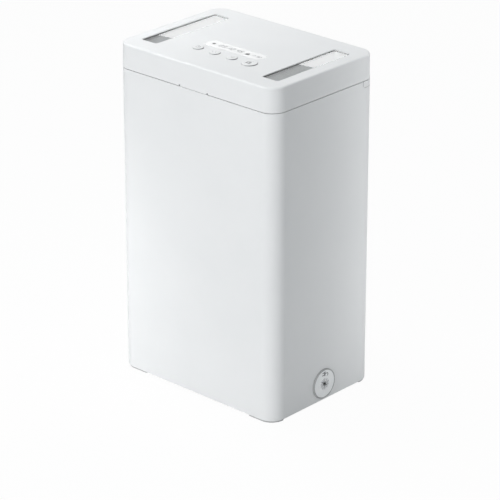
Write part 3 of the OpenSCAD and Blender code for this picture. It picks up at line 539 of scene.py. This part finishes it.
def mark(name, polygons, place, finish, body):
    """Thin closed piece from polygons in millimetres; place lifts a point onto its surface."""
    mesh = bpy.data.meshes.new(name)
    bm = bmesh.new()
    for polygon in polygons:
        bm.faces.new([bm.verts.new(place(x * MM, y * MM)) for x, y in polygon])
    bmesh.ops.remove_doubles(bm, verts=bm.verts, dist=0.002 * MM)
    bmesh.ops.recalc_face_normals(bm, faces=bm.faces)
    bmesh.ops.solidify(bm, geom=list(bm.faces), thickness=INK_THICKNESS)
    bmesh.ops.recalc_face_normals(bm, faces=bm.faces)
    bm.to_mesh(mesh)
    bm.free()
    piece = bpy.data.objects.new(name, mesh)
    bpy.context.collection.objects.link(piece)
    mesh.materials.append(finish)
    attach(piece, body)


# ------------------------------------------------------------------ icons


def padlock(width):
    """Closed padlock drawn round the origin."""
    body_h = width * 0.72
    shackle = arc((0, body_h * 0.1), width * 0.22, width * 0.36, 0, 180, 12)
    return rectangle(0, -body_h * 0.42, width, body_h) + shackle


def battery_icon(width):
    """Half-full battery: four sides, the level inside and the pole at the right."""
    height = width * 0.5
    stroke = width * 0.1
    x, y = width / 2, height / 2
    sides = (
        bar((-x, -y), (x, -y), stroke)
        + bar((-x, y), (x, y), stroke)
        + bar((-x, -y), (-x, y), stroke)
        + bar((x, -y), (x, y), stroke)
    )
    level = rectangle(-width * 0.12, 0, width * 0.5, height * 0.55)
    return sides + level + rectangle(width * 0.6, 0, stroke, height * 0.5)


def chevron(direction, size):
    """Arrow head that points up for 1 and down for -1."""
    tip = direction * size * 0.35
    return (
        bar((-size / 2, -tip), (0, tip), size * 0.2)
        + bar((0, tip), (size / 2, -tip), size * 0.2)
    )


def clock_icon(size):
    """Clock face with its hands at three o'clock."""
    hands = bar((0, 0), (0, size * 0.3), size * 0.1) + bar((0, 0), (size * 0.22, 0), size * 0.1)
    return arc((0, 0), size * 0.4, size * 0.5, 0, 360, 32) + hands


def plug_icon(size):
    """Generic plug lying on its side: a block with two prongs and a curled lead."""
    thin = size * 0.09
    body = rectangle(size * 0.08, 0, size * 0.22, size * 0.44)
    prongs = []
    for v in (-size * 0.12, size * 0.12):
        prongs += bar((size * 0.19, v), (size * 0.42, v), thin)
    lead = bar((-size * 0.03, 0), (-size * 0.25, 0), thin)
    bend = size * 0.14
    curl = arc((-size * 0.25, -bend), bend - thin / 2, bend + thin / 2, 90, 270, 12)
    return body + prongs + lead + curl


# ------------------------------------------------------------------ display

SEGMENTS = {
    "0": "abcdef", "1": "bc", "2": "abged", "3": "abgcd", "4": "fgbc",
    "5": "afgcd", "6": "afgedc", "7": "abc", "8": "abcdefg", "9": "abfgcd",
}
DIGIT_W = 3.4
DIGIT_H = 6.2
STROKE = 0.8
SEGMENT_GAP = 0.12
SLANT = 0.12

DISPLAY_Y = -15.0
DISPLAY_TEXT = "03 12 45"
DISPLAY_LEFT = -20.8
GROUP_PITCH = 11.2
DIGIT_PITCH = 4.6
DOT_X = -28.4
DOT_RADIUS = 1.7
LOCK_X = 17.0
LOCK_SIZE = 4.4
RING_X = 25.0
RING_INNER = 1.2
RING_OUTER = 1.7
BATTERY_X = 31.5
BATTERY_SIZE = 4.6


def segment(which, left, bottom):
    """One stroke of a seven-segment digit, leaning a little to the right."""
    w, h, s = DIGIT_W, DIGIT_H, STROKE
    half = s / 2
    ends = {
        "a": ((s, h - half), (w - s, h - half)),
        "d": ((s, half), (w - s, half)),
        "g": ((s, h / 2), (w - s, h / 2)),
        "f": ((half, h / 2 + half), (half, h - s)),
        "b": ((w - half, h / 2 + half), (w - half, h - s)),
        "e": ((half, s), (half, h / 2 - half)),
        "c": ((w - half, s), (w - half, h / 2 - half)),
    }
    (x0, y0), (x1, y1) = ends[which]
    length = math.hypot(x1 - x0, y1 - y0)
    ux, uy = (x1 - x0) / length, (y1 - y0) / length
    tip = half - SEGMENT_GAP
    points = [
        (x0 - ux * tip, y0 - uy * tip),
        (x0 - uy * half, y0 + ux * half),
        (x1 - uy * half, y1 + ux * half),
        (x1 + ux * tip, y1 + uy * tip),
        (x1 + uy * half, y1 - ux * half),
        (x0 + uy * half, y0 - ux * half),
    ]
    return [[(left + x + SLANT * y, bottom + y) for x, y in points]]


def make_display(finishes):
    """Digits and status icons on the display strip."""
    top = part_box("display_lens")[1][2]

    def on_lens(x, y):
        return (x, y, top + ICON_LIFT)

    def show(name, polygons, ink):
        mark(f"display_{name}", polygons, on_lens, finishes[ink], "lid")

    lit, unlit = [], []
    for group, text in enumerate(DISPLAY_TEXT.split()):
        for place, digit in enumerate(text):
            left = DISPLAY_LEFT + group * GROUP_PITCH + place * DIGIT_PITCH
            for which in "abcdefg":
                strokes = segment(which, left, DISPLAY_Y - DIGIT_H / 2)
                if which in SEGMENTS[digit]:
                    lit += strokes
                else:
                    unlit += strokes
    show("digits", lit, "ink_pale")
    show("unlit", unlit, "ink_faint")
    show("dot", disc((DOT_X, DISPLAY_Y), DOT_RADIUS), "ink_dark")
    show("lock", moved(padlock(LOCK_SIZE), LOCK_X, DISPLAY_Y), "ink_dark")
    show("ring", arc((RING_X, DISPLAY_Y), RING_INNER, RING_OUTER, 0, 360), "ink_pale")
    show("battery", moved(battery_icon(BATTERY_SIZE), BATTERY_X, DISPLAY_Y), "ink_mark")


# ------------------------------------------------------------------ painted shade and light on the panes, painted shade in the notches

# A pane's raised top starts this far inside its box. The dark line of painted shade on it, where the
# window's left wall is in shade, narrows towards the rear
PANE_STEP = 2.25
SHADE_INSET = 1.5
SHADE_FRONT = {"left": 2.0, "right": 1.2}
SHADE_REAR = 0.4
# Pale strip of painted light over the shaded gap at the pane's rear, standing in for the pane's bright
# reflection there
GAP_LIGHT_INSET = 2.0
GAP_LIGHT_WIDTH = 0.6

# Notches of the lid's front lip, and the dark mark of painted shade laid inside each
NOTCH_X = {"left": -18.4, "right": 18.4}
NOTCH_DEPTH = 0.8 * MM
NOTCH_RISE = 0.7
NOTCH_WIDTH = 1.7
NOTCH_HEIGHT = 1.3


def make_pane_shade_and_light(finishes):
    """Painted shade as a dark line on each pane's left edge, where the window's wall is shaded, and
    painted light as a pale strip over the shaded gap at its rear.
    """
    for side in ("left", "right"):
        low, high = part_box(f"window_pane_{side}")

        def on_pane(x, y):
            return (x, y, high[2] + LINE_LIFT)

        left, right = low[0] / MM + PANE_STEP, high[0] / MM - PANE_STEP
        front, rear = low[1] / MM + PANE_STEP, high[1] / MM - PANE_STEP
        near, far = front + SHADE_INSET, rear - SHADE_INSET
        # Painted shade: dark line along the pane's left edge, wider at the front
        edge = [[(left, near), (left + SHADE_FRONT[side], near), (left + SHADE_REAR, far), (left, far)]]
        mark(f"pane_shade_{side}", edge, on_pane, finishes["ink_dark"], "lid")
        # Painted light: pale strip along the pane's rear edge, over the gap's shade
        gap_light_y = rear - GAP_LIGHT_WIDTH / 2
        gap_light = bar((left + GAP_LIGHT_INSET, gap_light_y), (right - GAP_LIGHT_INSET, gap_light_y), GAP_LIGHT_WIDTH)
        mark(f"pane_gap_light_{side}", gap_light, on_pane, finishes["inner"], "lid")


def make_notch_shades(finishes):
    """Painted shade: a dark mark inside each of the two notches of the lid's front lip, where the notch
    is shaded.
    """
    low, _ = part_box("lid_cover")

    def in_notch(x, z):
        return (x, low[1] + NOTCH_DEPTH, z)

    for side, x in NOTCH_X.items():
        # Painted shade standing in for the shaded inside of the notch
        ground = rectangle(x, low[2] / MM + NOTCH_RISE, NOTCH_WIDTH, NOTCH_HEIGHT)
        mark(f"notch_shade_{side}", ground, in_notch, finishes["ink_dark"], "lid")


# ------------------------------------------------------------------ marks on buttons and grommet

# The domed crown of a button ends this far inside its rim
CROWN_INSET = 1 * MM

PLUG_SIZE = 10.5
PLUG_ASIDE = -0.6
PLUG_ABOVE = 11.2


def make_button_icons(finishes):
    """A grey icon on each button's crown."""
    icons = {
        "button_1": clock_icon(5.0),
        "button_2": chevron(1, 4.4),
        "button_3": chevron(-1, 4.4),
        "button_4": padlock(5.4),
    }
    for number, (name, polygons) in enumerate(icons.items(), start=1):
        low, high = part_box(name)
        middle_x, middle_y = (low[0] + high[0]) / 2, (low[1] + high[1]) / 2
        radius = (high[0] - low[0]) / 2 - CROWN_INSET
        sphere = (radius**2 + BUTTON_CROWN**2) / (2 * BUTTON_CROWN)

        def on_crown(x, y):
            drop = sphere - math.sqrt(sphere**2 - x**2 - y**2)
            return (middle_x + x, middle_y + y, high[2] - drop + ICON_LIFT)

        mark(f"icon_{number}", polygons, on_crown, finishes["ink_mark"], f"key_{number}")


def make_grommet_mark(finishes):
    """Plug mark on the grommet's face, above the slits."""
    low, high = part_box("cable_grommet")
    middle_y, middle_z = (low[1] + high[1]) / 2, (low[2] + high[2]) / 2

    def on_face(u, v):
        return (high[0] + LINE_LIFT, middle_y - u, middle_z + v)

    plug = moved(plug_icon(PLUG_SIZE), PLUG_ASIDE, PLUG_ABOVE)
    mark("grommet_mark", plug, on_face, finishes["ink_mark"], "box")


# ------------------------------------------------------------------ world and lights

AMBIENT = 0.40
AMBIENT_COLOUR = (0.935, 0.975, 1.0)


def share_of_rays(tree, *kinds):
    """Socket that is 1 for rays of these kinds and 0 for others."""
    path = tree.nodes.new("ShaderNodeLightPath")
    share = path.outputs[kinds[0]]
    for kind in kinds[1:]:
        either = tree.nodes.new("ShaderNodeMath")
        either.operation = "MAXIMUM"
        tree.links.new(share, either.inputs[0])
        tree.links.new(path.outputs[kind], either.inputs[1])
        share = either.outputs[0]
    return share


def mix_shaders(tree, share, first, second, target):
    """Feeds the target with the first shader where the share is 0 and the second where it is 1."""
    mix = tree.nodes.new("ShaderNodeMixShader")
    tree.links.new(share, mix.inputs["Fac"])
    tree.links.new(first.outputs[0], mix.inputs[1])
    tree.links.new(second.outputs[0], mix.inputs[2])
    tree.links.new(mix.outputs[0], target.inputs["Surface"])


def make_world():
    """White where it is seen, mirrored or seen through a pane, and plain ambient light elsewhere."""
    world = bpy.data.worlds.new("studio")
    bpy.context.scene.world = world
    world.use_nodes = True
    tree = world.node_tree
    tree.nodes.clear()
    seen = tree.nodes.new("ShaderNodeBackground")
    seen.inputs["Color"].default_value = (1, 1, 1, 1)
    seen.inputs["Strength"].default_value = 1.0
    ambient = tree.nodes.new("ShaderNodeBackground")
    ambient.inputs["Color"].default_value = (*AMBIENT_COLOUR, 1)
    ambient.inputs["Strength"].default_value = AMBIENT
    out = tree.nodes.new("ShaderNodeOutputWorld")
    share = share_of_rays(tree, "Is Camera Ray", "Is Glossy Ray", "Is Transmission Ray")
    mix_shaders(tree, share, ambient, seen, out)


def area_light(name, place, target, size, power, spread=180):
    """Soft box that shines from a place towards a target, seen neither directly nor mirrored."""
    data = bpy.data.lights.new(name, "AREA")
    data.shape = "RECTANGLE"
    data.size, data.size_y = size
    data.energy = power
    data.spread = math.radians(spread)
    lamp = bpy.data.objects.new(name, data)
    lamp.location = place
    lamp.rotation_mode = "QUATERNION"
    lamp.rotation_quaternion = (Vector(target) - Vector(place)).to_track_quat("-Z", "Y")
    lamp.visible_camera = False
    lamp.visible_glossy = False
    bpy.context.collection.objects.link(lamp)


def make_lights():
    """Soft boxes in front, right and above; narrow ones lift the edges that are paler in the photo."""
    middle = (0, 0, 0.18)
    lid_top = (0, 0, 0.35)
    # Name, place, target, size, power in watts, spread in degrees
    area_light("front", (0.2, -2.6, 0.9), middle, (1.6, 1.4), 35.0)
    area_light("right", (2.2, -0.8, 0.6), middle, (1.0, 1.4), 3.0)
    area_light("top", (-0.3, -0.1, 1.5), lid_top, (0.5, 0.5), 6.9)
    area_light("top_left", (-0.35, -0.1, 1.35), (-0.19, -0.05, 0.35), (0.2, 0.2), 0.05, 22)
    area_light("left_edge", (-0.35, -1.0, 0.1), (-0.2, -0.075, 0.12), (0.2, 0.2), 0.062, 20)
    area_light("rear_edge", (0.8, 0.45, 0.15), (0.105, 0.2, 0.12), (0.2, 0.8), 0.47, 25)


# ------------------------------------------------------------------ panel and floor

# Bright panel behind the box that the window panes mirror. Its top edge shows in the panes as a line
# at these places along Y, with the bright part behind it.
PANEL_DISTANCE = 2.0
PANEL_TURN = math.radians(10.8)
PANEL_STRENGTH = 3.4
PANEL_MARGIN = 40 * MM
MIRROR_LINE = {"window_pane_left": -31 * MM, "window_pane_right": -1.5 * MM}

FLOOR_HALF = 6.0
FLOOR_GLOW = 0.96


def stage_plane(name, corners, material):
    """One flat face of the studio, which isn't part of the object."""
    mesh = bpy.data.meshes.new(name)
    mesh.from_pydata(corners, [], [(0, 1, 2, 3)])
    mesh.materials.append(material)
    plane = bpy.data.objects.new(name, mesh)
    bpy.context.collection.objects.link(plane)
    return plane


def mirrored(point, normal):
    """Place on the panel's plane that the camera sees mirrored at a point of a level face."""
    eye = bpy.context.scene.camera.location.copy()
    eye.z = 2 * point.z - eye.z
    ray = point - eye
    return point + ray * ((PANEL_DISTANCE - point.dot(normal)) / ray.dot(normal))


def panel_glow():
    material = bpy.data.materials.new("panel_glow")
    material.use_nodes = True
    tree = material.node_tree
    tree.nodes.remove(tree.nodes["Principled BSDF"])
    glow = tree.nodes.new("ShaderNodeEmission")
    glow.inputs["Strength"].default_value = PANEL_STRENGTH
    tree.links.new(glow.outputs[0], tree.nodes["Material Output"].inputs["Surface"])
    return material


def make_panel():
    """Glowing panel just large enough for the panes, seen in reflections only."""
    normal = Vector((-math.sin(PANEL_TURN), math.cos(PANEL_TURN), 0))
    along = Vector((math.cos(PANEL_TURN), math.sin(PANEL_TURN), 0))
    edge, rear = [], []
    for pane, line_y in MIRROR_LINE.items():
        low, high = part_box(pane)
        edge.append(mirrored(Vector(((low[0] + high[0]) / 2, line_y, high[2])), normal))
        rear += [mirrored(Vector((x, high[1], high[2])), normal) for x in (low[0], high[0])]
    rise = (edge[1].z - edge[0].z) / (edge[1] - edge[0]).dot(along)
    bottom = min(point.z for point in rear) - PANEL_MARGIN
    reaches = [point.dot(along) for point in edge + rear]

    def corner(reach, at_top):
        foot = normal * PANEL_DISTANCE + along * reach
        top = edge[0].z + (reach - edge[0].dot(along)) * rise
        return (foot.x, foot.y, top if at_top else bottom)

    first, last = min(reaches) - PANEL_MARGIN, max(reaches) + PANEL_MARGIN
    corners = [corner(first, False), corner(last, False), corner(last, True), corner(first, True)]
    panel = stage_plane("light_panel", corners, panel_glow())
    panel.visible_camera = False
    panel.visible_diffuse = False
    panel.visible_transmission = False
    panel.visible_shadow = False


def pale_floor():
    """White where the camera sees it, with a faint shadow, and a plain matt floor to the light."""
    material = bpy.data.materials.new("pale_floor")
    material.use_nodes = True
    tree = material.node_tree
    matt = tree.nodes["Principled BSDF"]
    matt.inputs["Base Color"].default_value = (0.8, 0.8, 0.8, 1)
    matt.inputs["Roughness"].default_value = 0.9
    matt.inputs["Specular IOR Level"].default_value = 0.0
    glow = tree.nodes.new("ShaderNodeEmission")
    share = tree.nodes.new("ShaderNodeMath")
    share.operation = "MULTIPLY"
    share.inputs[1].default_value = FLOOR_GLOW
    tree.links.new(share_of_rays(tree, "Is Camera Ray"), share.inputs[0])
    mix_shaders(tree, share.outputs[0], matt, glow, tree.nodes["Material Output"])
    return material


def make_floor():
    h = FLOOR_HALF
    stage_plane("floor", [(-h, -h, 0), (h, -h, 0), (h, h, 0), (-h, h, 0)], pale_floor())


# ------------------------------------------------------------------ all together

make_camera()
finishes = make_finishes()
dress_nodes(finishes)
make_display(finishes)
make_pane_shade_and_light(finishes)
make_notch_shades(finishes)
make_button_icons(finishes)
make_grommet_mark(finishes)
make_world()
make_lights()
make_panel()
make_floor()
bpy.context.scene.view_settings.view_transform = "Standard"
